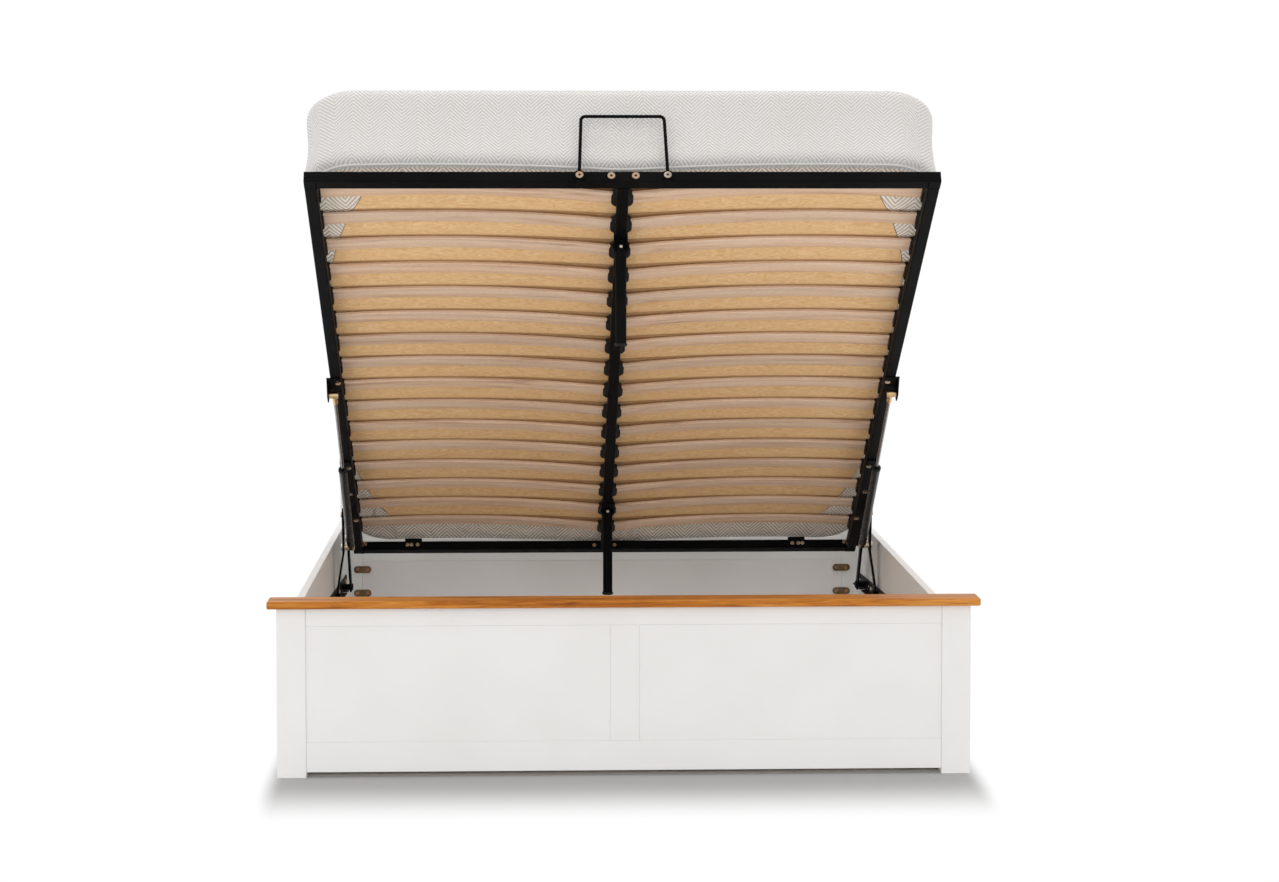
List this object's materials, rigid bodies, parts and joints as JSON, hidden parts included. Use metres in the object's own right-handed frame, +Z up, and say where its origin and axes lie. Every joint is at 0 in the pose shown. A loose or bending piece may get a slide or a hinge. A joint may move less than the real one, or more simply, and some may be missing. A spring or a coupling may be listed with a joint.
{
  "type": "ottoman storage bed",
  "caption": "Painted timber bed frame whose slatted steel platform and mattress swing up on cranked arms and gas struts over an under-bed storage box.",
  "frame": {"origin": "centre of the bed's footprint, on the floor", "axes": "+X to the bed's right seen from the foot end, +Y from the footboard to the headboard, +Z up"},
  "size_m": [1.478, 2.065, 1.4291],
  "materials": {
    "oak": "clear satin lacquer",
    "white_paint": "white satin paint",
    "lining_board": "grey melamine",
    "pine": "planed",
    "bronze_plate": "bronzed",
    "zinc_steel": "zinc plated",
    "black_steel": "matt black powder coat",
    "rod_steel": "hard chrome",
    "brass": "turned",
    "beech": "matt lacquered beech veneer",
    "black_plastic": "moulded",
    "mattress_cover": "knitted cover"
  },
  "bodies": {
    "bed_frame": {"footboard_left_post": "white_paint", "footboard_right_post": "white_paint", "footboard_top_rail": "white_paint", "footboard_bottom_rail": "white_paint", "footboard_middle_stile": "white_paint", "footboard_panels": "white_paint", "footboard_cap": "oak", "headboard_left_post": "white_paint", "headboard_right_post": "white_paint", "headboard_top_rail": "white_paint", "headboard_bottom_rail": "white_paint", "headboard_middle_stile": "white_paint", "headboard_panels": "white_paint", "headboard_cap": "oak", "left_side_rail": "white_paint", "right_side_rail": "white_paint", "storage_back_panel": "lining_board", "mending_plates": "bronze_plate", "corner_angles": "zinc_steel", "storage_floor_boards": "lining_board", "floor_bearers": "pine", "left_mechanism_base": "black_steel", "right_mechanism_base": "black_steel", "base_pivot_pins": "zinc_steel"},
    "rear_arms": {"left_rear_arm": "black_steel", "right_rear_arm": "black_steel"},
    "platform": {"left_side_tube": "black_steel", "right_side_tube": "black_steel", "foot_tube": "black_steel", "head_tube": "black_steel", "centre_rail": "black_steel", "left_slats": "beech", "right_slats": "beech", "left_slat_caps": "black_plastic", "right_slat_caps": "black_plastic", "centre_slat_holders": "black_plastic", "left_hinge_angle": "black_steel", "right_hinge_angle": "black_steel", "rear_arm_pins": "zinc_steel", "strut_brackets": "black_steel", "pull_handle": "black_steel", "foot_tube_bolts": "zinc_steel", "head_tube_brackets": "black_steel", "platform_bolts": "zinc_steel", "leg_brackets": "black_steel", "leg_pins": "zinc_steel", "mattress": "mattress_cover"},
    "front_arms": {"left_front_arm": "black_steel", "right_front_arm": "black_steel", "front_arm_pins": "zinc_steel"},
    "strut_cylinders": {"left_strut_cylinder": "black_steel", "right_strut_cylinder": "black_steel"},
    "strut_rods": {"left_strut_rod": "rod_steel", "right_strut_rod": "rod_steel", "strut_rod_ends": "brass", "strut_head_studs": "zinc_steel"},
    "foot_end_leg": {"foot_leg": "black_steel", "foot_leg_cap": "black_plastic"},
    "head_end_leg": {"head_leg": "black_steel", "head_leg_cap": "black_plastic"}
  },
  "joints": [
    {"name": "rear_arm_hinge", "type": "hinge", "parent": "bed_frame", "child": "rear_arms", "pos_m": [0, 0.72346, 0.15], "axis": [1, 0, 0], "range_deg": [-93.26, 0]},
    {"name": "platform_hinge", "type": "hinge", "parent": "rear_arms", "child": "platform", "pos_m": [0, 0.61001, 0.29533], "axis": [1, 0, 0], "range_deg": [0, 124.76]},
    {"name": "front_arm_hinge", "type": "hinge", "parent": "bed_frame", "child": "front_arms", "pos_m": [0, 0.45854, 0.162], "axis": [1, 0, 0], "range_deg": [-81.6, 0]},
    {"name": "strut_hinge", "type": "hinge", "parent": "front_arms", "child": "strut_cylinders", "pos_m": [0, 0.43671, 0.29347], "axis": [1, 0, 0], "range_deg": [0, 115.74]},
    {"name": "strut_slide", "type": "slide", "parent": "strut_cylinders", "child": "strut_rods", "axis": [0, -0.8015, 0.598], "range_m": [-0.1454, 0]},
    {"name": "foot_leg_hinge", "type": "hinge", "parent": "platform", "child": "foot_end_leg", "pos_m": [0, -0.73776, 1.0931], "axis": [1, 0, 0], "range_deg": [-31.5, 0]},
    {"name": "head_leg_hinge", "type": "hinge", "parent": "platform", "child": "head_end_leg", "pos_m": [0, 0.41501, 0.38668], "axis": [1, 0, 0], "range_deg": [-31.5, 0]}
  ],
  "couplings": [
    {"joint": "platform_hinge", "follows": "rear_arm_hinge", "ratio": -1.3378},
    {"joint": "front_arm_hinge", "follows": "rear_arm_hinge", "ratio": 0.87499},
    {"joint": "strut_hinge", "follows": "rear_arm_hinge", "ratio": -1.2411},
    {"joint": "strut_slide", "follows": "rear_arm_hinge", "m_per_rad": 0.089215},
    {"joint": "foot_leg_hinge", "follows": "rear_arm_hinge", "ratio": 0.33777},
    {"joint": "head_leg_hinge", "follows": "rear_arm_hinge", "ratio": 0.33777}
  ]
}
